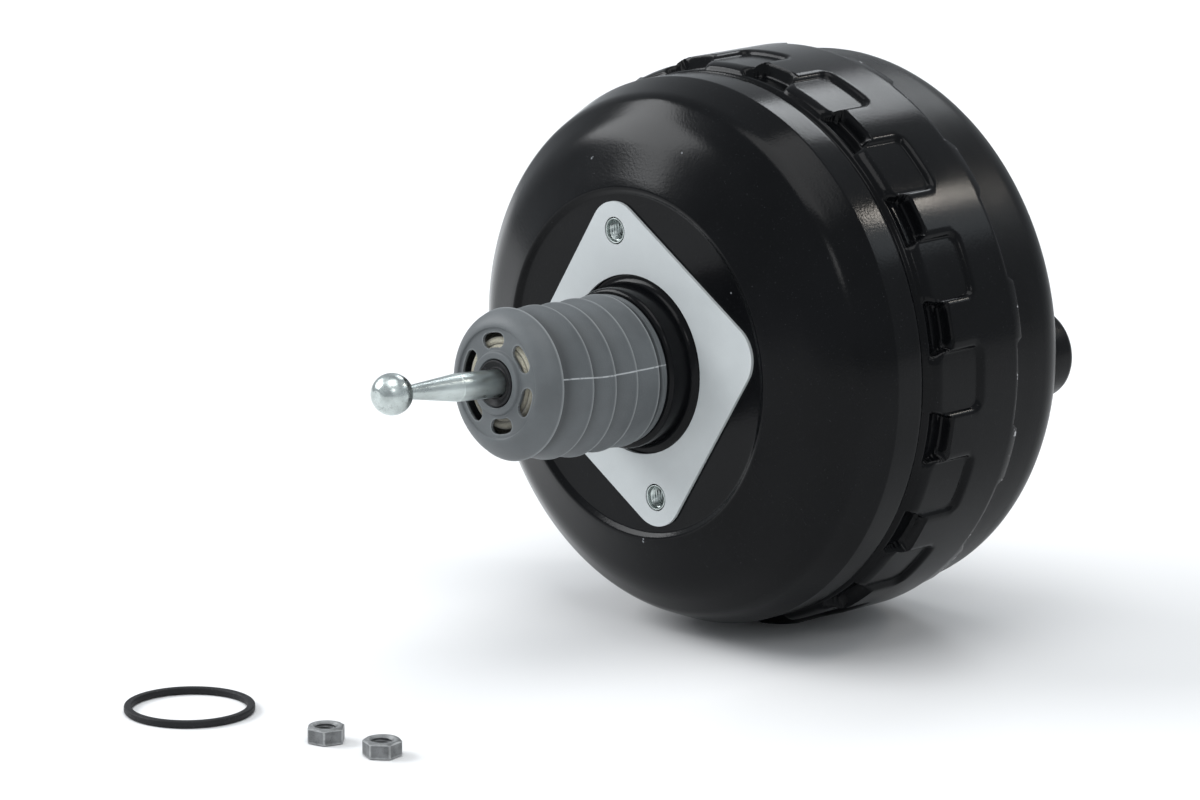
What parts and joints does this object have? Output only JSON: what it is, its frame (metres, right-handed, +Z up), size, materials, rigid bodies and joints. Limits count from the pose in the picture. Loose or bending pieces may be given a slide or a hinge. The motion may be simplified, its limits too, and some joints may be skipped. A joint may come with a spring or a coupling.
{
  "type": "brake booster",
  "caption": "Vacuum brake booster: pressed round housing with embossed rim windows, dust boot and ball-ended pedal rod, through bolts and a sliding power piston.",
  "frame": {"origin": "on the booster's axis, in the outer face of the bulkhead gasket, midway between the two bulkhead bolts", "axes": "+Y along the booster's axis from the pedal towards the master cylinder, +Z up as it lies on its rim, +X towards the vacuum port boss"},
  "size_m": [0.26, 0.4153, 0.26],
  "materials": {
    "shell_black": "satin",
    "gasket_grey": "matte",
    "zinc_steel": "satin",
    "rod_steel": "satin",
    "spring_steel": "satin",
    "pressed_steel": "satin",
    "phosphated_steel": "matte",
    "boot_rubber": "matte",
    "black_rubber": "matte",
    "diaphragm_rubber": "matte",
    "moulded_resin": "matte",
    "guide_plastic": "satin",
    "filter_felt": "matte"
  },
  "bodies": {
    "housing": {"rear_shell": "shell_black", "front_shell": "shell_black", "vacuum_grommet": "black_rubber", "bulkhead_gasket": "gasket_grey", "tie_bolts": "zinc_steel", "tie_bolt_seals": "black_rubber", "neck_guide": "guide_plastic", "neck_seal": "black_rubber", "diaphragm": "diaphragm_rubber", "return_spring": "spring_steel", "dust_boot": "boot_rubber", "master_cylinder_seal": "black_rubber", "master_cylinder_nuts": "phosphated_steel"},
    "power_piston": {"control_housing": "moulded_resin", "stop_key": "pressed_steel", "diaphragm_plate": "pressed_steel", "plate_clip": "spring_steel", "plate_bushes": "black_rubber", "reaction_disc": "black_rubber", "output_rod": "zinc_steel", "output_rod_adjuster": "zinc_steel", "output_rod_retainer": "pressed_steel", "poppet_valve": "black_rubber", "poppet_retainer": "pressed_steel", "poppet_spring": "spring_steel"},
    "valve_plunger": {"valve_plunger": "zinc_steel", "rod_return_spring": "spring_steel"},
    "pedal_rod": {"pedal_rod": "rod_steel", "rod_spring_seat": "pressed_steel", "air_filter": "filter_felt", "boot_hub_ring": "black_rubber"}
  },
  "joints": [
    {"name": "piston_stroke", "type": "slide", "parent": "housing", "child": "power_piston", "axis": [0, 1, 0], "range_m": [0, 0.032], "stiffness_N_per_m": 3500, "springref_m": -0.04, "deforming": ["diaphragm", "return_spring", "dust_boot"]},
    {"name": "valve_travel", "type": "slide", "parent": "power_piston", "child": "valve_plunger", "axis": [0, 1, 0], "range_m": [0, 0.0024], "stiffness_N_per_m": 1500, "springref_m": -0.02, "deforming": ["rod_return_spring"]},
    {"name": "rod_swivel", "type": "hinge", "parent": "valve_plunger", "child": "pedal_rod", "pos_m": [0, -0.025, 0], "axis": [1, 0, 0], "range_deg": [-0.7, 5.6], "deforming": ["rod_return_spring", "dust_boot"]}
  ]
}
